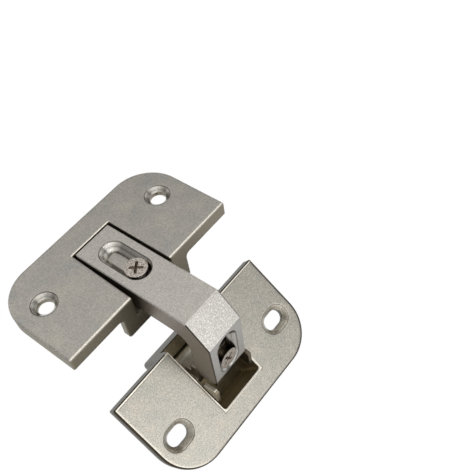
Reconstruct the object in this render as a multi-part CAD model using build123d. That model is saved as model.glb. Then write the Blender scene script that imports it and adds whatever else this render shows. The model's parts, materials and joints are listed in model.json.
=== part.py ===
from build123d import *
import math
import os

# Concealed hinge with a cranked arm. Millimetres and degrees.
# X runs from the fixed plate to the moving plate, Y along the hinge pin, Z out of the fixed plate's face.
# Each piece is drawn from the middle of the fixed plate's straight edge, on its face. Then all are moved
# together, so that the origin is midway between the two screw holes, where they open on the plate's back.

# The two plates
fixed_plate_length = 70.0
moving_plate_length = 69.0
fixed_plate_width = 35.4
moving_plate_width = 35.0
plate_corner_radius = 13.8
plate_side_depth = 5.0
web_thickness = 3.0
rim_width = 2.2
straight_edge_round = 0.5
fixed_edge_round = 0.5
moving_edge_round = 1.1

# Screw holes of the plates
screw_hole_diameter = 5.3
screw_ring_diameter = 8.6
hole_pitch = 51.4
fixed_hole_inset = 20.7
moving_hole_inset = 20.6
moving_slot_length = 7.8

# Cranked arm, a channel open towards the throat of the crank
arm_width = 15.0
arm_depth = 9.0
arm_web = 3.0
arm_skirt = 2.4
crank_start = 19.15
crank_drop = 8.2
leg_face = 26.7
leg_bottom = 30.2
leg_depth = 8.6
throat_radius = 5.2
leg_toe_radius = 3.4
leg_tip_radius = 2.6
arm_bend_radius = 0.5
arm_edge_break = 0.35

# Trough of the fixed plate, with the rail that guides the arm's channel
recess_length = 26.5
mouth_flare = 1.0
trough_wall = 3.5
trough_end_wall = 3.0
trough_depth = 15.5
trough_corner_round = 1.2
flange_reach = 6.3
gusset_radius = 1.7
floor_set_back = 0.6

# Screws and the slots that they clamp in
screw_head_diameter = 7.5
screw_head_rim = 0.15
screw_diameter = 4.0
screw_length = 8.0
screw_tip = 0.5
cross_span = 4.7
cross_bar = 1.0
cross_depth = 1.9
cross_foot_bar = 0.15
cross_turn = 36.0
slot_width = 4.5
slot_ring_width = 9.0
arm_screw_inset = 6.85
arm_slot_spare = 0.6
arm_travel = 9.5
leg_screw_rise = 7.2
leg_travel = 9.0

# Hinge pin, barrel and carrier
open_angle = 38.6
pivot_x = 9.6
pivot_z = -35.1
pin_diameter = 4.0
pin_chamfer = 0.4
barrel_diameter = 7.2
link_thickness = 6.2
link_top = 3.2
saddle_back = 6.0
saddle_top = 7.4
cheek_start = 10.9
cheek_top = 3.4
cheek_ramp = 1.6
cheek_round = 1.2
carrier_end = 17.6
tongue_above_screw = 4.4
saddle_round = 0.8

# Pocket of the moving plate
pivot_inset = 8.2
pivot_depth = 9.1
pocket_length = 27.3
pocket_half_width = 9.4
pocket_depth = 13.5
pocket_corner = 1.1
pocket_rim_break = 0.3
housing_wall = 5.0
housing_end_wall = 2.4
housing_floor = 2.4
housing_round = 1.3
front_wall = 4.1
notch_depth = 6.9
rim_ramp = 4.0

# Clearances
arm_end_gap = 0.65
arm_side_gap = 0.9
slide_gap = 0.1
side_gap = 0.2
slot_end_gap = 0.3
head_seat_gap = 0.15
thread_gap = 0.02
pin_running_gap = 0.05
pin_seat_gap = 0.02
carrier_side_gap = 0.3
leg_side_gap = 0.25
pin_end_gap = 0.3
cut_past = 1.0

# Sizes that follow from the ones above
arm_half = arm_width / 2
channel_half = arm_half - arm_skirt
recess_half = arm_half + arm_side_gap
mouth_half = recess_half + mouth_flare
trough_half = recess_half + trough_wall
flange_half = recess_half + flange_reach
trough_floor = arm_depth + side_gap
arm_end = arm_end_gap - recess_length
leg_back = leg_face - leg_depth
leg_screw_drop = leg_bottom - leg_screw_rise
housing_half = pocket_half_width + housing_wall
housing_depth = pocket_depth + housing_floor
hole_ring_depth = (screw_ring_diameter - screw_hole_diameter) / 2
head_sink = (slot_ring_width - screw_head_diameter) / 2 - screw_head_rim - head_seat_gap * math.sqrt(2)
carrier_half = pocket_half_width - carrier_side_gap
tongue_half = channel_half - side_gap
pin_half_length = housing_half - pin_end_gap


def rounded_plate(length, width, side):
    """Outline of a plate: straight edge on the Y axis, two round corners on the far side."""
    outline = Pos(side * width / 2, 0) * Rectangle(width, length)
    far_side = Axis((0, 0, 0), (side, 0, 0))
    return fillet(outline.vertices().sort_by(far_side)[-2:], plate_corner_radius)


def cast_plate(length, width, side, edge_round):
    """A die-cast plate with rounded face edges and a relieved back inside a rim."""
    outline = rounded_plate(length, width, side)
    plate = extrude(outline, amount=-plate_side_depth)
    far_side = Axis((0, 0, 0), (side, 0, 0))
    outer_edges = plate.faces().sort_by(Axis.Z)[-1].edges().sort_by(far_side)[1:]
    plate = fillet(outer_edges, edge_round)
    straight_edge = plate.edges().sort_by_distance((0, 0, 0))[0]
    plate = fillet(straight_edge, straight_edge_round)
    relief = extrude(offset(outline, amount=-rim_width), amount=web_thickness - plate_side_depth)
    return plate - Pos(0, 0, -web_thickness) * relief


def block(x_low, x_high, half_width, z_low, z_high):
    """A box that lies between two X values and two Z values, centred on Y."""
    size = (x_high - x_low, 2 * half_width, z_high - z_low)
    return Pos((x_low + x_high) / 2, 0, (z_low + z_high) / 2) * Box(*size)


def flared_slot(centres, ring_width, through_width, depth):
    """Cutter for a countersunk slot along X, from the plane Z = 0 downwards."""
    flare = (ring_width - through_width) / 2
    ring = extrude(SlotCenterToCenter(centres, ring_width), amount=-flare, taper=45)
    return ring + extrude(SlotCenterToCenter(centres, through_width), amount=-depth)


def flared_hole(depth):
    """Cutter for a plate's countersunk screw hole."""
    ring = screw_ring_diameter / 2
    hole = screw_hole_diameter / 2
    cone = Pos(0, 0, -hole_ring_depth / 2) * Cone(hole, ring, hole_ring_depth)
    return cone + Pos(0, 0, -depth / 2) * Cylinder(hole, depth)


def gusset(side):
    """Rounded root between the fixed plate's rim and one end of its flange."""
    corner = Pos(gusset_radius / 2, -gusset_radius / 2) * Rectangle(gusset_radius, gusset_radius)
    root = corner - Pos(gusset_radius, -gusset_radius) * Circle(gusset_radius)
    bar = extrude(root, amount=rim_width)
    rim_foot = (0, side * flange_half, -plate_side_depth)
    placed = Plane(origin=rim_foot, x_dir=(0, side, 0), z_dir=(side, 0, 0)) * bar
    return placed if side < 0 else Pos(-rim_width, 0, 0) * placed


def make_trough():
    """The walls round the arm's recess, with a wide flange at the straight edge."""
    back = -recess_length - trough_end_wall
    trough = block(back, -rim_width / 2, trough_half, -trough_depth, -web_thickness / 2)
    low_edges = trough.faces().sort_by(Axis.Z)[0].edges().filter_by(Axis.X)
    trough = fillet(low_edges + trough.faces().sort_by(Axis.X)[0].edges(), trough_corner_round)
    flange = block(-rim_width, 0, flange_half, -trough_depth, -web_thickness / 2)
    flange = fillet(flange.faces().sort_by(Axis.Z)[0].edges().filter_by(Axis.X), trough_corner_round)
    return trough + flange + gusset(-1) + gusset(1)


def arm_recess():
    """Cutter for the recess that the arm lies in, a little wider on one side at its mouth."""
    return extrude(make_face(Polyline(
        (-recess_length, recess_half),
        (cut_past, recess_half),
        (cut_past, -mouth_half),
        (0, -mouth_half),
        (-recess_length, -recess_half),
        close=True,
    )), amount=-trough_floor)


def floor_slope():
    """Cutter that leans the front of the trough's floor back, from its lower edge."""
    side_view = make_face(Polyline(
        (-floor_set_back, -trough_floor),
        (cut_past, -trough_floor),
        (cut_past, -trough_depth),
        (0, -trough_depth),
        close=True,
    ))
    return extrude(Plane.XZ * side_view, amount=recess_half, both=True)


def make_fixed_plate():
    """Plate A with its trough, the arm's recess, the guide rail and the arm screw's thread."""
    plate = cast_plate(fixed_plate_length, fixed_plate_width, -1, fixed_edge_round) + make_trough()
    rail = block(-recess_length, -floor_set_back, tongue_half, -trough_floor, -arm_web - slide_gap)
    plate = plate - arm_recess() - floor_slope() + rail
    for side in (-1, 1):
        plate -= Pos(-fixed_hole_inset, side * hole_pitch / 2, 0) * flared_hole(plate_side_depth)
    thread_length = screw_length + screw_tip
    thread = Cylinder(screw_diameter / 2 + thread_gap, thread_length)
    return plate - Pos(-arm_screw_inset, 0, -head_sink - thread_length / 2) * thread


def crank_turns():
    """Angles through which the web turns at the top and at the foot of the sloping facet."""
    top_turn = math.atan2(crank_drop, leg_face - crank_start)
    return top_turn, math.pi / 2 - top_turn


def arm_outline():
    """Side view of the cranked arm, in X and Z."""
    outline = make_face(Polyline(
        (arm_end, 0),
        (crank_start, 0),
        (leg_face, -crank_drop),
        (leg_face, -leg_bottom),
        (leg_back, -leg_bottom),
        (leg_back, -arm_depth),
        (arm_end, -arm_depth),
        close=True,
    ))
    corners = outline.vertices()
    throat = corners.sort_by_distance((leg_back, -arm_depth))[0]
    outline = fillet(throat, throat_radius)
    toe = outline.vertices().sort_by_distance((leg_back, -leg_bottom))[0]
    outline = fillet(toe, leg_toe_radius)
    tip = outline.vertices().sort_by_distance((leg_face, -leg_bottom))[0]
    outline = fillet(tip, leg_tip_radius)
    bends = [outline.vertices().sort_by_distance(p)[0] for p in ((crank_start, 0), (leg_face, -crank_drop))]
    return fillet(bends, arm_bend_radius)


def channel_outline():
    """Side view of the hollow between the arm's skirts, open at both ends and to the throat."""
    top_turn, foot_turn = crank_turns()
    beyond = leg_bottom + cut_past
    return make_face(Polyline(
        (arm_end - cut_past, -arm_web),
        (crank_start - arm_web * math.tan(top_turn / 2), -arm_web),
        (leg_face - arm_web, -crank_drop - arm_web * math.tan(foot_turn / 2)),
        (leg_face - arm_web, -beyond),
        (arm_end - cut_past, -beyond),
        close=True,
    ))


def make_cranked_arm():
    """The cranked channel with its two countersunk slots."""
    arm = extrude(Plane.XZ * arm_outline(), amount=arm_half, both=True)
    for side in (0, -1):
        arm = chamfer(arm.faces().sort_by(Axis.Y)[side].edges(), arm_edge_break)
    arm -= extrude(Plane.XZ * channel_outline(), amount=channel_half, both=True)

    through = arm_web + cut_past
    centres = arm_travel + 2 * slot_end_gap + arm_slot_spare
    arm_slot = flared_slot(centres, slot_ring_width, slot_width, through)
    arm -= Pos((arm_slot_spare - arm_travel) / 2 - arm_screw_inset, 0, 0) * arm_slot
    leg_slot = flared_slot(leg_travel + 2 * slot_end_gap, slot_ring_width, slot_width, through)
    slot_middle = leg_travel / 2 - leg_screw_drop
    face = Plane(origin=(leg_face, 0, slot_middle), x_dir=(0, 0, 1), z_dir=(1, 0, 0))
    return arm - face * leg_slot


def cross_recess():
    """Cutter for the cross in a screw head, narrower towards its foot."""
    cross = Rectangle(cross_span, cross_bar) + Rectangle(cross_bar, cross_span)
    draft = math.degrees(math.atan2((cross_bar - cross_foot_bar) / 2, cross_depth))
    return Rot(0, 0, cross_turn) * extrude(cross, amount=-cross_depth, taper=draft)


def make_screw():
    """Countersunk screw with its head's top in the plane Z = 0 and its shank downwards."""
    head = screw_head_diameter / 2
    shank = screw_diameter / 2
    cone_foot = screw_head_rim + head - shank
    profile = make_face(Polyline(
        (0, 0),
        (head, 0),
        (head, -screw_head_rim),
        (shank, -cone_foot),
        (shank, screw_tip - screw_length),
        (shank - screw_tip, -screw_length),
        (0, -screw_length),
        close=True,
    ))
    return revolve(Plane.XZ * profile, Axis.Z) - cross_recess()


def make_arm_screw():
    """The screw that clamps the arm on the rail."""
    return Pos(-arm_screw_inset, 0, -head_sink) * make_screw()


def make_leg_screw():
    """The screw that clamps the carrier's tongue in the leg."""
    seat = Plane(origin=(leg_face - head_sink, 0, -leg_screw_drop), x_dir=(0, 0, 1), z_dir=(1, 0, 0))
    return seat * make_screw()


def side_shape(points):
    """A face in X and Z, with its points measured from the hinge pin."""
    return make_face(Polyline(*points, close=True))


def link_outline():
    """Side view of the carrier's link and saddle, which runs from the barrel to behind the leg."""
    back = leg_back - side_gap - pivot_x
    low = link_top - link_thickness
    outline = side_shape((
        (0, low),
        (carrier_end, low),
        (carrier_end, low + link_thickness / 2),
        (back, low + link_thickness / 2),
        (back, saddle_top),
        (saddle_back, saddle_top),
        (saddle_back, link_top),
        (0, link_top),
    ))
    root = outline.vertices().sort_by_distance((saddle_back, link_top))[0]
    outline = fillet(root, saddle_round)
    crest = outline.vertices().sort_by_distance((saddle_back, saddle_top))[0]
    return fillet(crest, saddle_round)


def cheek_outline():
    """Side view of the cheeks, low beside the saddle and raised beside the leg's foot."""
    low = link_top - link_thickness
    shoulder = link_top - link_thickness / 2
    outline = side_shape((
        (0, low),
        (carrier_end, low),
        (carrier_end, cheek_top),
        (cheek_start + cheek_ramp, cheek_top),
        (cheek_start, shoulder),
        (0, shoulder),
    ))
    nose = outline.vertices().sort_by_distance((carrier_end, cheek_top))[0]
    return fillet(nose, cheek_round)


def from_pin(outline, half_width):
    """A side view made solid over a width, placed at the hinge pin."""
    return Pos(pivot_x, 0, pivot_z) * extrude(Plane.XZ * outline, amount=half_width, both=True)


def make_pivot_carrier():
    """Barrel on the hinge pin, link, saddle behind the leg, cheeks beside it and a tongue inside it."""
    barrel = from_pin(Circle(barrel_diameter / 2), carrier_half)
    cheeks = from_pin(cheek_outline(), carrier_half)
    carrier = barrel + from_pin(link_outline(), arm_half - side_gap) + cheeks

    carrier_low = pivot_z + link_top - link_thickness
    room_end = pivot_x + carrier_end + cut_past
    carrier -= block(leg_back - side_gap, room_end, arm_half + leg_side_gap, carrier_low - cut_past, 0)
    tongue_top = tongue_above_screw - leg_screw_drop
    tongue_front = leg_face - arm_web - slide_gap
    carrier += block(leg_back - side_gap - saddle_round, tongue_front, tongue_half, carrier_low, tongue_top)

    bore = Cylinder(pin_diameter / 2 + pin_running_gap, 2 * housing_half)
    carrier -= Pos(pivot_x, 0, pivot_z) * Rot(90, 0, 0) * bore
    thread = Cylinder(screw_diameter / 2 + thread_gap, screw_length + screw_tip)
    thread_middle = leg_face - head_sink - (screw_length + screw_tip) / 2
    return carrier - Pos(thread_middle, 0, -leg_screw_drop) * Rot(0, 90, 0) * thread


def make_pivot_pin():
    """The hinge pin, held in the pocket's side walls and free in the barrel."""
    pin = Cylinder(pin_diameter / 2, 2 * pin_half_length)
    pin = chamfer(pin.edges().filter_by(GeomType.CIRCLE), pin_chamfer)
    return Pos(pivot_x, 0, pivot_z) * Rot(90, 0, 0) * pin


def pocket_cutter():
    """Cutter for the pocket with its broken rim and the notch in its front wall."""
    middle = (pocket_length - cut_past) / 2
    opening = Pos(middle, 0) * Rectangle(pocket_length + cut_past, 2 * pocket_half_width)
    opening = fillet(opening.vertices().sort_by(Axis.X)[-2:], pocket_corner)
    notch = extrude(opening, amount=-notch_depth)
    rim = extrude(offset(opening, amount=pocket_rim_break), amount=-pocket_rim_break, taper=45)
    well = block(front_wall, pocket_length, pocket_half_width, -pocket_depth, -notch_depth / 2)
    return fillet(well.edges().filter_by(Axis.Z), pocket_corner) + notch + rim


def rim_ramps():
    """Cutter that thins the straight edge's rim towards the housing, on both sides of it."""
    front_view = make_face(Polyline(
        (housing_half, -web_thickness),
        (housing_half + rim_ramp, -plate_side_depth),
        (-housing_half - rim_ramp, -plate_side_depth),
        (-housing_half, -web_thickness),
        close=True,
    ))
    return extrude(Plane.YZ * front_view, amount=rim_width)


def make_moving_plate():
    """Plate B with its pocket, the low front wall, the pin's bores and two countersunk slots."""
    housing_end = pocket_length + housing_end_wall
    housing = block(0, housing_end, housing_half, -housing_depth, -web_thickness / 2)
    rounded = housing.edges().filter_by(Axis.Z) + housing.faces().sort_by(Axis.Z)[0].edges()
    housing = fillet(rounded, housing_round)
    plate = cast_plate(moving_plate_length, moving_plate_width, 1, moving_edge_round)
    plate = plate - rim_ramps() + housing - pocket_cutter()
    centres = moving_slot_length - screw_hole_diameter
    slot = flared_slot(centres, screw_ring_diameter, screw_hole_diameter, plate_side_depth)
    for side in (-1, 1):
        plate -= Pos(moving_hole_inset, side * hole_pitch / 2, 0) * Rot(0, 0, 90) * slot
    bore = Cylinder(pin_diameter / 2 + pin_seat_gap, 2 * housing_half + 2 * cut_past)
    plate -= Pos(pivot_inset, 0, -pivot_depth) * Rot(90, 0, 0) * bore
    return Pos(pivot_x, 0, pivot_z) * Rot(0, open_angle, 0) * Pos(-pivot_inset, 0, pivot_depth) * plate


pieces = {
    "fixed_plate": make_fixed_plate(),
    "cranked_arm": make_cranked_arm(),
    "arm_screw": make_arm_screw(),
    "leg_screw": make_leg_screw(),
    "pivot_carrier": make_pivot_carrier(),
    "pivot_pin": make_pivot_pin(),
    "moving_plate": make_moving_plate(),
}

os.makedirs("parts", exist_ok=True)
for name, piece in pieces.items():
    placed = Pos(fixed_hole_inset, 0, web_thickness) * piece
    export_step(placed, f"parts/{name}.step")
    print(name, round(placed.volume, 1))
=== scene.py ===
import json
import math

import bpy
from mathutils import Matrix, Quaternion, Vector


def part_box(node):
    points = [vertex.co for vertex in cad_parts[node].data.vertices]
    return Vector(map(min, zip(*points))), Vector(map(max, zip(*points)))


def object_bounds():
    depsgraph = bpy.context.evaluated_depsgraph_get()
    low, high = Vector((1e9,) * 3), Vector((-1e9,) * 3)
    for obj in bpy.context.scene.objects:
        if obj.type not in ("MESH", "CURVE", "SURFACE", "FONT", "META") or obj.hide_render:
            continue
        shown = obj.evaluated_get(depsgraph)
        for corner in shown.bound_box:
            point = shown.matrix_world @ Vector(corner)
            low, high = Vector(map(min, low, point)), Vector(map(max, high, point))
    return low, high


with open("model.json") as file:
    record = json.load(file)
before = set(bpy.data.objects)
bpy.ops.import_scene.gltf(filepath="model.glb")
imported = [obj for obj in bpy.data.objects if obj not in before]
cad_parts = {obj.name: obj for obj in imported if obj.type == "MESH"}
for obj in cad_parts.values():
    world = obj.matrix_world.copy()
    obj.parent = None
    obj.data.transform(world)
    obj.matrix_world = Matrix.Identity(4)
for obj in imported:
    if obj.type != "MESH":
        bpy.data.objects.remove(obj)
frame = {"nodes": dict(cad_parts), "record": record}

scene = bpy.context.scene
scene.view_settings.view_transform = "Standard"
cad_low, cad_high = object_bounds()


# Camera. It looks down over the near corner of the moving plate, a little rolled, as the photograph
# was taken. The shift puts the hinge in the lower left of the frame.
mm = 0.001
camera_place = Vector((121.56, -67.60, 161.35)) * mm
camera_aim = Vector((32.53, 16.46, -7.0)) * mm
camera_roll = math.radians(-10.49)
focal_pixels = 663.9
picture_pixels = 470
camera = bpy.data.objects.new("camera", bpy.data.cameras.new("camera"))
camera.data.sensor_width = 36.0
camera.data.lens = camera.data.sensor_width * focal_pixels / picture_pixels
camera.data.shift_x = 0.0307
camera.data.shift_y = 0.0886
camera.data.clip_start = 10 * mm
camera.location = camera_place
level_look = (camera_aim - camera_place).to_track_quat("-Z", "Y")
camera.rotation_euler = (level_look @ Quaternion((0, 0, 1), camera_roll)).to_euler()
scene.collection.objects.link(camera)
scene.camera = camera


# Table and light. A seamless white table, low enough for the moving plate to swing over it, in a plain
# white room. What the metal mirrors of the room is a bright window beside the moving plate, a dark gap, a
# paler wall behind the fixed plate with a dark corner, a ceiling lamp and a dimmer near side.
def linear(hex_colour):
    """The linear RGBA values of an sRGB hex colour."""
    channels = [int(hex_colour[i:i + 2], 16) / 255 for i in (1, 3, 5)]
    return [c / 12.92 if c <= 0.04045 else ((c + 0.055) / 1.055) ** 2.4 for c in channels] + [1.0]


def add(tree, kind, inputs=(), **settings):
    """Adds a node with its settings. Each input is a value or another node's output."""
    node = tree.nodes.new(kind)
    for name, value in settings.items():
        setattr(node, name, value)
    for name, value in dict(inputs).items():
        if isinstance(value, bpy.types.NodeSocket):
            tree.links.new(value, node.inputs[name])
        else:
            node.inputs[name].default_value = value
    return node


def new_material(name):
    """An empty node material, with its tree and its output node."""
    material = bpy.data.materials.new(name)
    material.use_nodes = True
    tree = material.node_tree
    tree.nodes.clear()
    return material, tree, tree.nodes.new("ShaderNodeOutputMaterial")


# The room. The camera sees it plain white, and what the metal mirrors comes from its walls and its lamp.
full_white = 1.03
room = bpy.data.worlds.new("plain_room")
room.use_nodes = True
tree = room.node_tree
look = add(tree, "ShaderNodeTexCoord").outputs["Generated"]
window_way = Vector((0.691, -0.723, 0))
across_room = add(tree, "ShaderNodeVectorMath", {0: look, 1: window_way}, operation="DOT_PRODUCT")
ramp_place = add(tree, "ShaderNodeMapRange", {"Value": across_room.outputs["Value"], "From Min": -1.0})
room_levels = add(tree, "ShaderNodeValToRGB", {0: ramp_place.outputs[0]})
stops = room_levels.color_ramp.elements
# Each pair is a place along the window's way, from -1 to 1, and how bright the wall is there.
wall_levels = ((-1.0, 0.60), (-0.80, 0.22), (-0.55, 0.78), (-0.20, 0.60), (0.10, 0.26), (0.52, 1.32))
while len(stops) < len(wall_levels):
    stops.new(0.5)
for stop, (place, level) in zip(stops, wall_levels):
    stop.position = (place + 1) / 2
    stop.color = (level, level, level, 1.0)
near_side_level = 0.45
axes = add(tree, "ShaderNodeSeparateXYZ", {0: look})
near_side = add(tree, "ShaderNodeMapRange", {
    "Value": axes.outputs["Y"], "From Min": -0.90, "From Max": -0.50, "To Min": near_side_level,
}, interpolation_type="SMOOTHSTEP")
walls = add(tree, "ShaderNodeMath", {
    0: near_side.outputs[0], 1: room_levels.outputs[0]}, operation="MULTIPLY")
ceiling_lamp_level = 1.6
ceiling_lamp_way = Vector((0.12, 0.28, 0.95)).normalized()
overhead = add(tree, "ShaderNodeVectorMath", {0: look, 1: ceiling_lamp_way}, operation="DOT_PRODUCT")
ceiling_lamp = add(tree, "ShaderNodeMapRange", {
    "Value": overhead.outputs["Value"], "From Min": 0.95, "From Max": 0.985, "To Max": ceiling_lamp_level,
}, interpolation_type="SMOOTHSTEP")
mirrored_level = add(tree, "ShaderNodeMath", {
    0: walls.outputs[0], 1: ceiling_lamp.outputs[0]}, operation="ADD")
straight_look = add(tree, "ShaderNodeLightPath").outputs["Is Camera Ray"]
level = add(tree, "ShaderNodeMix", {
    0: straight_look, 2: mirrored_level.outputs[0], 3: full_white}, data_type="FLOAT")
backdrop = tree.nodes["Background"]
backdrop.inputs["Color"].default_value = linear("#FBF9F5")
tree.links.new(level.outputs[0], backdrop.inputs["Strength"])
scene.world = room

# The table lies just below the circle that the moving plate's furthest corner swings round the pin.
nodes = frame["nodes"]
record = frame["record"]
pin_joint = next(joint for joint in record["behaviour"]["joints"] if joint["name"] == "plate_hinge")
pin_place = Vector(pin_joint["pos_m"])
moving_corners = [vertex.co for vertex in nodes["moving_plate"].data.vertices]
swing = max(math.hypot(corner.x - pin_place.x, corner.z - pin_place.z) for corner in moving_corners)
table_gap = 1 * mm
table_z = pin_place.z - swing - table_gap
table_half = 2.0
table_ways = ((-1, -1), (1, -1), (1, 1), (-1, 1))
table_corners = [(table_half * x, table_half * y, table_z) for x, y in table_ways]
table_mesh = bpy.data.meshes.new("table")
table_mesh.from_pydata(table_corners, [], [(0, 1, 2, 3)])
table = bpy.data.objects.new("table", table_mesh)
scene.collection.objects.link(table)

# Matt white paper, almost full white to the eye and in mirrors, which still takes a faint shadow.
table_paper, tree, output = new_material("matt_white_paper")
paper = add(tree, "ShaderNodeBsdfDiffuse", {"Color": linear("#F6F6F5")})
white = add(tree, "ShaderNodeEmission", {"Strength": full_white})
path = add(tree, "ShaderNodeLightPath")
direct = add(tree, "ShaderNodeMath", {
    0: path.outputs["Is Camera Ray"], 1: path.outputs["Is Glossy Ray"]}, operation="MAXIMUM")
seen = add(tree, "ShaderNodeMath", {
    0: direct.outputs[0], 1: path.outputs["Is Transmission Ray"]}, operation="MAXIMUM")
white_share = add(tree, "ShaderNodeMath", {0: seen.outputs[0], 1: 0.95}, operation="MULTIPLY")
surface = add(tree, "ShaderNodeMixShader", {
    0: white_share.outputs[0], 1: paper.outputs[0], 2: white.outputs[0]})
tree.links.new(surface.outputs[0], output.inputs["Surface"])
table_mesh.materials.append(table_paper)

# A small soft box on the moving plate's side adds a little direct light.
hinge_middle = (cad_low + cad_high) / 2
soft_box_place = hinge_middle + Vector((0.62, 0.10, 0.30))
soft_box = bpy.data.objects.new("soft_box", bpy.data.lights.new("soft_box", "AREA"))
soft_box.data.size = 0.30
soft_box.data.energy = 0.12
soft_box.location = soft_box_place
soft_box.rotation_euler = (hinge_middle - soft_box_place).to_track_quat("-Z", "Y").to_euler()
scene.collection.objects.link(soft_box)


# Fixed plate. A zinc die casting, barrel finished and then nickel plated. Its face is a satin warm grey
# with faint cloudy patches, and a painted highlight runs along the edges towards the moving plate. Its
# sides, trough and back keep the browner skin of the mould, painted darker as painted shade, and a cutter
# made the two countersunk holes, smooth with fine rings.
def worn_edges(tree, radius):
    """The surface's own normals, in object space, rounded over the edges."""
    rounded = add(tree, "ShaderNodeBevel", {"Radius": radius}, samples=6)
    return add(tree, "ShaderNodeVectorTransform", {0: rounded.outputs[0]},
               vector_type="NORMAL", convert_from="WORLD", convert_to="OBJECT").outputs[0]


def lean(tree, normal, share, way):
    """The normals, set to a way where the share is 1."""
    leant = add(tree, "ShaderNodeMix", {0: share, 4: normal, 5: way}, data_type="VECTOR").outputs[1]
    return add(tree, "ShaderNodeVectorMath", {0: leant}, operation="NORMALIZE").outputs[0]


def clouds(tree, size):
    """Soft patches from 0 to 1, about as wide as size."""
    spot = add(tree, "ShaderNodeTexCoord").outputs["Object"]
    patches = add(tree, "ShaderNodeTexNoise", {"Vector": spot, "Scale": 1 / size, "Detail": 3.0})
    return add(tree, "ShaderNodeMapRange", {
        "Value": patches.outputs["Fac"], "From Min": 0.3, "From Max": 0.7}).outputs[0]


def facing_share(tree, normal, way, low, high):
    """Runs from 0 to 1 as the surface turns to face a way: low and high are cosines."""
    turned = add(tree, "ShaderNodeVectorMath", {0: normal, 1: way}, operation="DOT_PRODUCT")
    return add(tree, "ShaderNodeMapRange", {
        "Value": turned.outputs["Value"], "From Min": low, "From Max": high}).outputs[0]


def height_share(tree, point, way, low, high):
    """Runs from 0 to 1 between two heights over a point, measured along a way."""
    place = add(tree, "ShaderNodeTexCoord").outputs["Object"]
    offset = add(tree, "ShaderNodeVectorMath", {0: place, 1: point}, operation="SUBTRACT")
    height = add(tree, "ShaderNodeVectorMath", {0: offset.outputs[0], 1: way}, operation="DOT_PRODUCT")
    return add(tree, "ShaderNodeMapRange", {
        "Value": height.outputs["Value"], "From Min": low, "From Max": high}).outputs[0]


def overlap(tree, *shares):
    """How far all the shares hold at the same place."""
    product = shares[0]
    for share in shares[1:]:
        product = add(tree, "ShaderNodeMath", {0: product, 1: share}, operation="MULTIPLY").outputs[0]
    return product


def slot_distance(tree, middle, long_way, across_way, reach):
    """How far the surface is from a slot's core line, or from its mirror image across the hinge. The
    line reaches the same length both ways from the middle, and is a point for a round hole."""
    place = add(tree, "ShaderNodeTexCoord").outputs["Object"]
    mirrored = add(tree, "ShaderNodeVectorMath", {0: place, 1: (1, -1, 1)}, operation="MULTIPLY")
    one_side = add(tree, "ShaderNodeVectorMath", {0: place, 1: mirrored.outputs[0]}, operation="MAXIMUM")
    offset = add(tree, "ShaderNodeVectorMath", {0: one_side.outputs[0], 1: middle}, operation="SUBTRACT")
    along = add(tree, "ShaderNodeVectorMath", {0: offset.outputs[0], 1: long_way}, operation="DOT_PRODUCT")
    across = add(tree, "ShaderNodeVectorMath", {
        0: offset.outputs[0], 1: across_way}, operation="DOT_PRODUCT")
    from_middle = add(tree, "ShaderNodeMath", {0: along.outputs["Value"]}, operation="ABSOLUTE")
    past_end = add(tree, "ShaderNodeMath", {0: from_middle.outputs[0], 1: reach}, operation="SUBTRACT")
    beyond = add(tree, "ShaderNodeMath", {0: past_end.outputs[0], 1: 0.0}, operation="MAXIMUM")
    flat = add(tree, "ShaderNodeCombineXYZ", {0: beyond.outputs[0], 1: across.outputs["Value"]})
    return add(tree, "ShaderNodeVectorMath", {0: flat.outputs[0]}, operation="LENGTH").outputs["Value"]


def cutter_marks(tree, colour, from_core, ring_radius, ring_tones):
    """A colour with the rings that a cutter leaves round a core line, whose tone range also paints glints
    and shade, and a painted dark line of shade at its rim, and the share inside. The rings are drawn 0.6 mm
    wide so that they show."""
    ring_width = 0.6 * mm
    rim_width = 0.13 * mm
    rim_shade_strength = 0.7
    edge_spare = 0.1 * mm
    inside = add(tree, "ShaderNodeMath", {
        0: from_core, 1: ring_radius + edge_spare}, operation="LESS_THAN").outputs[0]
    rings = add(tree, "ShaderNodeTexNoise", {"W": from_core, "Scale": 1 / ring_width}, noise_dimensions="1D")
    ring_tone = add(tree, "ShaderNodeMapRange", {
        "Value": rings.outputs["Fac"], "From Min": 0.3, "From Max": 0.7,
        "To Min": ring_tones[0], "To Max": ring_tones[1]})
    cut = add(tree, "ShaderNodeVectorMath", {0: colour, "Scale": ring_tone.outputs[0]}, operation="SCALE")
    cut_colour = add(tree, "ShaderNodeMix", {0: inside, 6: colour, 7: cut.outputs[0]}, data_type="RGBA")
    # Painted shade: a thin dark line round the rim.
    rim = add(tree, "ShaderNodeMath", {0: from_core, 1: ring_radius, 2: rim_width}, operation="COMPARE")
    lined = add(tree, "ShaderNodeMix", {
        0: overlap(tree, rim.outputs[0], rim_shade_strength), 6: cut_colour.outputs[2], 7: linear("#2E2A24"),
    }, data_type="RGBA")
    return lined.outputs[2], inside


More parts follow.
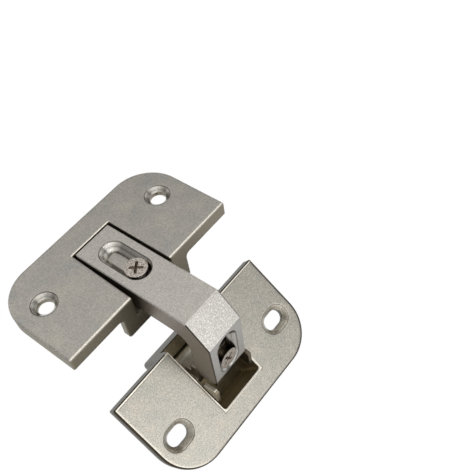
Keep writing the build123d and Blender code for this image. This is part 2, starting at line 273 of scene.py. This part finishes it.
def casting_finish(tree, output, colour, worked, polished, normal, grain_size, grain_contrast):
    """Satin nickel on a casting: smoother where it is worked and most where it is polished."""
    spot = add(tree, "ShaderNodeTexCoord").outputs["Object"]
    grain = add(tree, "ShaderNodeTexNoise", {
        "Vector": spot, "Scale": 1 / grain_size, "Detail": 2.0, "Roughness": 0.65})
    speckle = add(tree, "ShaderNodeMapRange", {
        "Value": grain.outputs["Fac"], "From Min": 0.3, "From Max": 0.7,
        "To Min": 1 - grain_contrast, "To Max": 1 + grain_contrast})
    tone = add(tree, "ShaderNodeVectorMath", {0: colour, "Scale": speckle.outputs[0]}, operation="SCALE")
    satin = add(tree, "ShaderNodeMapRange", {
        "Value": grain.outputs["Fac"], "From Min": 0.3, "From Max": 0.7, "To Min": 0.32, "To Max": 0.42})
    cast = add(tree, "ShaderNodeMix", {0: worked, 2: 0.46, 3: satin.outputs[0]}, data_type="FLOAT")
    roughness = add(tree, "ShaderNodeMix", {0: polished, 2: cast.outputs[0], 3: 0.22}, data_type="FLOAT")
    facing = add(tree, "ShaderNodeVectorTransform", {0: normal},
                 vector_type="NORMAL", convert_from="OBJECT", convert_to="WORLD")
    relief = add(tree, "ShaderNodeBump", {
        "Height": grain.outputs["Fac"], "Distance": 0.02 * mm, "Strength": 0.5, "Normal": facing.outputs[0]})
    metal = add(tree, "ShaderNodeBsdfPrincipled", {
        "Base Color": tone.outputs[0], "Roughness": roughness.outputs[0], "Normal": relief.outputs[0],
        "Metallic": 1.0})
    tree.links.new(metal.outputs[0], output.inputs["Surface"])


def dress(node, material):
    """Gives a CAD node its only material."""
    nodes[node].data.materials.clear()
    nodes[node].data.materials.append(material)


mounts = {mount["name"]: mount for mount in record["mounts"]}
half_pitch = mounts["fixed_plate_screws"]["dims"]["spacing_y_mm"] / 2 * mm
fixed_way = Vector((0, 0, 1))
fixed_face = Vector((0, half_pitch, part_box("fixed_plate")[1][2]))
screw_ring_radius = 4.3 * mm
ring_border = 0.9 * mm
cast_grain = 0.45 * mm
material, tree, output = new_material("satin_nickel_plate_casting")
normal = add(tree, "ShaderNodeTexCoord").outputs["Normal"]
rounded = worn_edges(tree, 1.0 * mm)
near_face = height_share(tree, fixed_face, fixed_way, -8.0 * mm, -4.0 * mm)
worked = overlap(tree, facing_share(tree, normal, fixed_way, 0.30, 0.70), near_face)
flat = overlap(tree, facing_share(tree, normal, fixed_way, 0.85, 0.95), near_face)
face = add(tree, "ShaderNodeMix", {
    0: clouds(tree, 6.0 * mm), 6: linear("#BFBEBB"), 7: linear("#CFCAC2")}, data_type="RGBA")
# Painted shade: the sides, trough and back get a darker brown than the face, on top of the duller skin.
colour = add(tree, "ShaderNodeMix", {0: worked, 6: linear("#847E6F"), 7: face.outputs[2]}, data_type="RGBA")
from_hole = slot_distance(tree, fixed_face, long_way=(0, 1, 0), across_way=(1, 0, 0), reach=0.0)
cut_colour, in_hole = cutter_marks(
    tree, colour.outputs[2], from_hole, screw_ring_radius, ring_tones=(0.62, 1.16))
clear_of_hole = add(tree, "ShaderNodeMath", {
    0: from_hole, 1: screw_ring_radius + ring_border}, operation="GREATER_THAN").outputs[0]
# Painted highlight: a cream line, and a normal leant to the ceiling lamp, along the edges turned towards the
# moving plate.
painted_edge_highlight = overlap(tree, facing_share(tree, rounded, (1, 0, 0), 0.08, 0.24), flat, clear_of_hole)
edged = add(tree, "ShaderNodeMix", {0: painted_edge_highlight, 6: cut_colour, 7: linear("#F6F1E4")}, data_type="RGBA")
edge_highlight_normal = lean(tree, rounded, painted_edge_highlight, Vector((0.30, 0, 0.95)))
casting_finish(tree, output, edged.outputs[2], worked, polished=in_hole, normal=edge_highlight_normal,
               grain_size=cast_grain, grain_contrast=0.20)
dress("fixed_plate", material)


# Cranked arm. A zinc die casting plated like the plates, smoother on top. The sloping facet is ground
# bright, with a few short marks, and the leg's outer face is painted a darker, cooler grey as painted shade.
# Its sides keep the dull skin, painted darker as painted shade, and a painted dark line of shade runs along
# the edges of the facet and the leg.
arm_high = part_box("cranked_arm")[1]
arm_slot_middle = Vector((9.4 * mm, 0, arm_high[2]))
arm_slot_reach = 5.35 * mm
leg_slot_middle = Vector((arm_high[0], 0, -15.5 * mm))
leg_slot_reach = 4.8 * mm
slot_ring_radius = 4.5 * mm
slot_depth = 4.0 * mm
edge_width = 0.5 * mm
blur = 0.1 * mm
material, tree, output = new_material("satin_nickel_arm_casting")
coordinates = add(tree, "ShaderNodeTexCoord")
place = coordinates.outputs["Object"]
normal = coordinates.outputs["Normal"]
rounded = worn_edges(tree, 0.30 * mm)

# The satin top, the ground facet with its rubbed marks, the leg painted darker as painted shade, and the
# dull skin of the sides, painted darker as painted shade.
worked = facing_share(tree, normal, (1, 0, 1), 0.35, 0.75)
turn =add(tree, "ShaderNodeSeparateXYZ", {0: normal})
sloping = add(tree, "ShaderNodeMath", {0: turn.outputs["X"], 1: turn.outputs["Z"]}, operation="MINIMUM")
ground = add(tree, "ShaderNodeMapRange", {"Value": sloping.outputs[0], "From Min": 0.55, "From Max": 0.65})
upright = facing_share(tree, normal, (1, 0, 0), 0.85, 0.95)
top = add(tree, "ShaderNodeMix", {
    0: clouds(tree, 3.0 * mm), 6: linear("#D6D3CE"), 7: linear("#DBD7D1")}, data_type="RGBA")
mark_length = 3.0 * mm
mark_width = 0.35 * mm
marks_way = add(tree, "ShaderNodeMapping", {
    "Vector": place, "Rotation": (0.5, 0.7, 0.6),
    "Scale": (1 / mark_length, 1 / mark_width, 1 / mark_width)})
marks = add(tree, "ShaderNodeTexNoise", {"Vector": marks_way.outputs[0], "Scale": 1.0, "Detail": 1.0})
rubbed_marks_and_sheen = add(tree, "ShaderNodeMapRange", {"Value": marks.outputs["Fac"], "From Min": 0.50, "From Max": 0.68})
facet = add(tree, "ShaderNodeMix", {
    0: rubbed_marks_and_sheen.outputs[0], 6: linear("#D0CECA"), 7: linear("#F4F2F0")}, data_type="RGBA")
upper = add(tree, "ShaderNodeMix", {
    0: ground.outputs[0], 6: top.outputs[2], 7: facet.outputs[2]}, data_type="RGBA")
# Painted shade: the leg's outer face, turned out, is painted a darker grey.
face = add(tree, "ShaderNodeMix", {0: upright, 6: upper.outputs[2], 7: linear("#A3A19D")}, data_type="RGBA")
# Painted shade: the sides are painted a darker brown than the worked faces.
colour = add(tree, "ShaderNodeMix", {0: worked, 6: linear("#7E756B"), 7: face.outputs[2]}, data_type="RGBA")

# Painted shade: a dark line on the breaks along both sides of the facet and the leg, half turned to the
# side.
sideways = add(tree, "ShaderNodeMath", {0: turn.outputs["Y"]}, operation="ABSOLUTE")
broken = add(tree, "ShaderNodeMath", {0: sideways.outputs[0], 1: 0.70, 2: 0.12}, operation="COMPARE")
outward = add(tree, "ShaderNodeMath", {0: turn.outputs["X"], 1: 0.3}, operation="GREATER_THAN")
spot = add(tree, "ShaderNodeSeparateXYZ", {0: place})
aside = add(tree, "ShaderNodeMath", {0: spot.outputs["Y"]}, operation="ABSOLUTE")
at_side = add(tree, "ShaderNodeMath", {
    0: aside.outputs[0], 1: arm_high[1] - edge_width}, operation="GREATER_THAN")
painted_edge_shade = overlap(tree, broken.outputs[0], outward.outputs[0], at_side.outputs[0])
edged = add(tree, "ShaderNodeMix", {
    0: painted_edge_shade, 6: colour.outputs[2], 7: linear("#4A433B")}, data_type="RGBA")

# The cutter's marks in the two countersunk slots, on what faces the cutter and not in the channel behind.
# Their tones paint glints and shade in the arm's slot, and painted shade in the leg's.
from_arm_slot = slot_distance(tree, arm_slot_middle, (1, 0, 0), (0, 1, 0), arm_slot_reach)
arm_slot_colour, in_arm_slot = cutter_marks(
    tree, edged.outputs[2], from_arm_slot, slot_ring_radius, ring_tones=(0.50, 1.25))
arm_top = height_share(tree, arm_slot_middle, (0, 0, 1), -slot_depth, blur - slot_depth)
facing_up = facing_share(tree, normal, (0, 0, 1), 0.25, 0.30)
arm_colour = add(tree, "ShaderNodeMix", {
    0: overlap(tree, facing_up, arm_top), 6: edged.outputs[2], 7: arm_slot_colour}, data_type="RGBA")
from_leg_slot = slot_distance(tree, leg_slot_middle, (0, 0, 1), (0, 1, 0), leg_slot_reach)
leg_slot_colour, in_leg_slot = cutter_marks(
    tree, edged.outputs[2], from_leg_slot, slot_ring_radius, ring_tones=(0.42, 0.70))
leg_front = height_share(tree, leg_slot_middle, (1, 0, 0), -slot_depth, blur - slot_depth)
facing_out = facing_share(tree, normal, (1, 0, 0), 0.25, 0.30)
marked = add(tree, "ShaderNodeMix", {
    0: overlap(tree, facing_out, leg_front), 6: arm_colour.outputs[2], 7: leg_slot_colour}, data_type="RGBA")
in_slots = add(tree, "ShaderNodeMath", {
    0: overlap(tree, in_arm_slot, arm_top), 1: overlap(tree, in_leg_slot, leg_front)}, operation="MAXIMUM")
casting_finish(tree, output, marked.outputs[2], worked, polished=in_slots.outputs[0], normal=rounded,
               grain_size=cast_grain, grain_contrast=0.20)
dress("cranked_arm", material)


# Clamping screws. Countersunk cross-recess screws of M4, cold-headed steel with bright nickel plating,
# a little pinker than the castings and cloudy from the plating bath, with painted glints and shade in its
# light and dark patches. The leg's screw is painted darker as painted shade.
def plated_screw(name, light_hex, dark_hex):
    """Nickel plating on a cold-headed screw, in cloudy light and dark patches that also paint glints and
    shade, with worn rims.
    """
    material, tree, output = new_material(name)
    colour = add(tree, "ShaderNodeMix", {
        0: clouds(tree, 0.5 * mm), 6: linear(dark_hex), 7: linear(light_hex)}, data_type="RGBA")
    rim = add(tree, "ShaderNodeBevel", {"Radius": 0.25 * mm}, samples=6)
    metal = add(tree, "ShaderNodeBsdfPrincipled", {
        "Base Color": colour.outputs[2], "Metallic": 1.0, "Roughness": 0.24, "Normal": rim.outputs[0]})
    tree.links.new(metal.outputs[0], output.inputs["Surface"])
    return material


dress("arm_screw", plated_screw("nickel_plated_steel", "#FBF5EE", "#93877D"))
dress("leg_screw", plated_screw("nickel_plated_steel_painted_shade", "#C6BCB3", "#5E544B"))


# Pivot carrier. The zinc casting that turns on the pin and is clamped to the leg, with the same plating.
# Its level tops on the near side carry a painted highlight. The rest is the brown skin of the mould, painted
# darker on the far side as painted shade.
material, tree, output = new_material("satin_nickel_carrier_casting")
normal = add(tree, "ShaderNodeTexCoord").outputs["Normal"]
near_half = height_share(tree, (0, 0, 0), (0, -1, 0), 0.0, 2.0 * mm)
# Painted highlight on the near level tops, and painted shade on the far half of the skin.
rubbed_marks_and_sheen = overlap(tree, facing_share(tree, normal, (0, 0, 1), 0.85, 0.97), near_half)
skin_and_painted_shading = add(tree, "ShaderNodeMix", {
    0: near_half, 6: linear("#6E6659"), 7: linear("#9A907F")}, data_type="RGBA")
colour = add(tree, "ShaderNodeMix", {0: rubbed_marks_and_sheen, 6: skin_and_painted_shading.outputs[2], 7: linear("#F6F0E3")}, data_type="RGBA")
rounded = worn_edges(tree, 0.35 * mm)
casting_finish(tree, output, colour.outputs[2], worked=rubbed_marks_and_sheen, polished=0.0, normal=rounded,
               grain_size=0.5 * mm, grain_contrast=0.12)
dress("pivot_carrier", material)


# Hinge pin. A ground bright steel pin, pressed into the pocket's side walls. The wheel left fine rings
# round it, drawn 0.15 mm wide so that they show.
material, tree, output = new_material("ground_bright_steel")
ring_width = 0.15 * mm
ring_length = 3.0 * mm
place = add(tree, "ShaderNodeTexCoord").outputs["Object"]
rings_way = add(tree, "ShaderNodeMapping", {
    "Vector": place, "Scale": (1 / ring_length, 1 / ring_width, 1 / ring_length)})
rings = add(tree, "ShaderNodeTexNoise", {"Vector": rings_way.outputs[0], "Scale": 1.0, "Detail": 2.0})
colour = add(tree, "ShaderNodeMix", {
    0: rings.outputs["Fac"], 6: linear("#A5A39F"), 7: linear("#C6C4C0")}, data_type="RGBA")
gloss = add(tree, "ShaderNodeMapRange", {
    "Value": rings.outputs["Fac"], "From Min": 0.3, "From Max": 0.7, "To Min": 0.22, "To Max": 0.36})
metal = add(tree, "ShaderNodeBsdfPrincipled", {
    "Base Color": colour.outputs[2], "Metallic": 1.0, "Roughness": gloss.outputs[0]})
tree.links.new(metal.outputs[0], output.inputs["Surface"])
dress("pivot_pin", material)


# Moving plate. The second zinc casting, blasted before its plating, so its face is lighter and speckled.
# A painted highlight runs round its pocket and its near edges, and painted shade darkens its sides and its
# far edge. The pocket that takes the carrier is olive brown inside, where little plating reached, painted
# lighter as painted light, most near its mouth.
moving_way = Vector(mounts["moving_plate_slots"]["axis"])
moving_face = Vector(mounts["moving_plate_slots"]["pos_m"]) + Vector((0, half_pitch, 0))
inward_way = Vector((moving_way.z, 0, -moving_way.x))
far_way = 0.6 * inward_way + Vector((0, 0.8, 0))
straight_edge = -8.2 * mm
straight_round = 0.5 * mm
pocket_half = 9.4 * mm
pocket_end = 19.1 * mm
mouth_break = 0.3 * mm
worn_radius = 1.2 * mm
slot_reach = 1.25 * mm
highlight_width = 0.18 * mm
shade_line_middle = 0.34 * mm
shade_line_half = 0.15 * mm
material, tree, output = new_material("blasted_nickel_plate_casting")
coordinates = add(tree, "ShaderNodeTexCoord")
place = coordinates.outputs["Object"]
normal = coordinates.outputs["Normal"]
rounded = worn_edges(tree, worn_radius)

# The skin of the sides and back, painted darker as painted shade, and the browner one inside the pocket,
# painted lighter as painted light, most near its mouth.
spot = add(tree, "ShaderNodeSeparateXYZ", {0: place})
aside = add(tree, "ShaderNodeMath", {0: spot.outputs["Y"]}, operation="ABSOLUTE")
between_walls = add(tree, "ShaderNodeMath", {
    0: aside.outputs[0], 1: pocket_half + mouth_break}, operation="LESS_THAN")
front = straight_edge + mouth_break
end = pocket_end + mouth_break
behind_front = height_share(tree, pin_place, inward_way, front, front + blur)
before_end = height_share(tree, pin_place, inward_way, end + blur, end)
not_under = facing_share(tree, normal, moving_way, -0.60, -0.40)
in_pocket = overlap(tree, between_walls.outputs[0], behind_front, before_end, not_under)
near_mouth = height_share(tree, moving_face, moving_way, -9.0 * mm, -6.5 * mm)
pocket_skin = add(tree, "ShaderNodeMix", {
    0: near_mouth, 6: linear("#A0957C"), 7: linear("#B4A88C")}, data_type="RGBA")
skin_and_painted_shading = add(tree, "ShaderNodeMix", {
    0: in_pocket, 6: linear("#6D6B65"), 7: pocket_skin.outputs[2]}, data_type="RGBA")

# Painted highlight: a shining line along the mouth of the pocket and the straight edge, and a painted line
# of shade beside it.
from_pin = add(tree, "ShaderNodeVectorMath", {0: place, 1: pin_place}, operation="SUBTRACT")
inward = add(tree, "ShaderNodeVectorMath", {0: from_pin.outputs[0], 1: inward_way}, operation="DOT_PRODUCT")
past_side = add(tree, "ShaderNodeMath", {
    0: aside.outputs[0], 1: pocket_half + mouth_break}, operation="SUBTRACT")
past_end = add(tree, "ShaderNodeMath", {0: inward.outputs["Value"], 1: end}, operation="SUBTRACT")
past_mouth = add(tree, "ShaderNodeMath", {
    0: past_side.outputs[0], 1: past_end.outputs[0]}, operation="MAXIMUM")
face_start = straight_edge + straight_round
past_straight = add(tree, "ShaderNodeMath", {
    0: inward.outputs["Value"], 1: face_start}, operation="SUBTRACT")
border = add(tree, "ShaderNodeMath", {
    0: past_mouth.outputs[0], 1: past_straight.outputs[0]}, operation="MINIMUM")
lit_line = add(tree, "ShaderNodeMath", {0: border.outputs[0], 1: highlight_width}, operation="LESS_THAN")
painted_shade_line = add(tree, "ShaderNodeMath", {
    0: border.outputs[0], 1: shade_line_middle, 2: shade_line_half}, operation="COMPARE")
raised = facing_share(tree, normal, moving_way, 0.55, 0.65)
edge_turn = facing_share(tree, rounded, moving_way, 0.993, 0.965)
far_edge = facing_share(tree, rounded, far_way, 0.10, 0.20)
near_edge = add(tree, "ShaderNodeMath", {0: edge_turn, 1: far_edge}, operation="SUBTRACT", use_clamp=True)
shining_line = add(tree, "ShaderNodeMath", {
    0: lit_line.outputs[0], 1: near_edge.outputs[0]}, operation="MAXIMUM")
from_slot = slot_distance(tree, moving_face, (0, 1, 0), inward_way, slot_reach)
clear_of_slot = add(tree, "ShaderNodeMath", {
    0: from_slot, 1: screw_ring_radius + ring_border}, operation="GREATER_THAN").outputs[0]
painted_rim_highlight = overlap(tree, shining_line.outputs[0], raised, clear_of_slot)

# The blasted face, with the painted highlight and the two countersunk slots.
near_face = height_share(tree, moving_face, moving_way, -6.0 * mm, -3.0 * mm)
worked = overlap(tree, facing_share(tree, normal, moving_way, 0.30, 0.70), near_face)
face = add(tree, "ShaderNodeMix", {
    0: clouds(tree, 4.0 * mm), 6: linear("#C0BFB8"), 7: linear("#CCC7BD")}, data_type="RGBA")
lined = add(tree, "ShaderNodeMix", {
    0: overlap(tree, painted_shade_line.outputs[0], 0.55), 6: face.outputs[2], 7: linear("#6B6458"),
}, data_type="RGBA")
shining = add(tree, "ShaderNodeMix", {0: painted_rim_highlight, 6: lined.outputs[2], 7: linear("#FBF5E8")}, data_type="RGBA")
colour = add(tree, "ShaderNodeMix", {0: worked, 6: skin_and_painted_shading.outputs[2], 7: shining.outputs[2]}, data_type="RGBA")
slot_base = add(tree, "ShaderNodeMix", {
    0: clouds(tree, 1.5 * mm), 6: linear("#BEB9AD"), 7: linear("#CCC7BB")}, data_type="RGBA")
slot_colour, in_slot = cutter_marks(
    tree, slot_base.outputs[2], from_slot, screw_ring_radius, ring_tones=(0.88, 1.04))
cut_colour = add(tree, "ShaderNodeMix", {
    0: overlap(tree, in_slot, worked), 6: colour.outputs[2], 7: slot_colour}, data_type="RGBA")

# Painted shade: a dark band below the face, thin along the straight edge and wide round the rest, and a
# dark line on the far edge.
off_straight_edge = height_share(tree, pin_place, inward_way, face_start, face_start + blur)
wide_band = height_share(tree, moving_face, moving_way, -4.1 * mm, -3.7 * mm)
thin_band = height_share(tree, moving_face, moving_way, -0.8 * mm, -0.6 * mm)
band_height = add(tree, "ShaderNodeMix", {
    0: off_straight_edge, 2: thin_band, 3: wide_band}, data_type="FLOAT")
turned_away = facing_share(tree, normal, moving_way, 0.93, 0.90)
past_pocket = height_share(
    tree, pin_place, inward_way, pocket_end + worn_radius, pocket_end + worn_radius + blur)
beside_pocket = add(tree, "ShaderNodeMath", {
    0: aside.outputs[0], 1: pocket_half + worn_radius}, operation="GREATER_THAN")
clear_of_pocket = add(tree, "ShaderNodeMath", {
    0: past_pocket, 1: beside_pocket.outputs[0]}, operation="MAXIMUM").outputs[0]
band = overlap(tree, turned_away, band_height.outputs[0], clear_of_slot, clear_of_pocket)
dark_edge = overlap(tree, far_edge, raised, clear_of_slot, clear_of_pocket)
dark = add(tree, "ShaderNodeMath", {0: band, 1: dark_edge}, operation="MAXIMUM")
banded = add(tree, "ShaderNodeMix", {
    0: dark.outputs[0], 6: cut_colour.outputs[2], 7: linear("#403A30")}, data_type="RGBA")
rim_highlight_normal = lean(tree, rounded, painted_rim_highlight, moving_way + 0.25 * inward_way)
casting_finish(tree, output, banded.outputs[2], worked, polished=overlap(tree, in_slot, 0.3),
               normal=rim_highlight_normal, grain_size=0.36 * mm, grain_contrast=0.34)
dress("moving_plate", material)
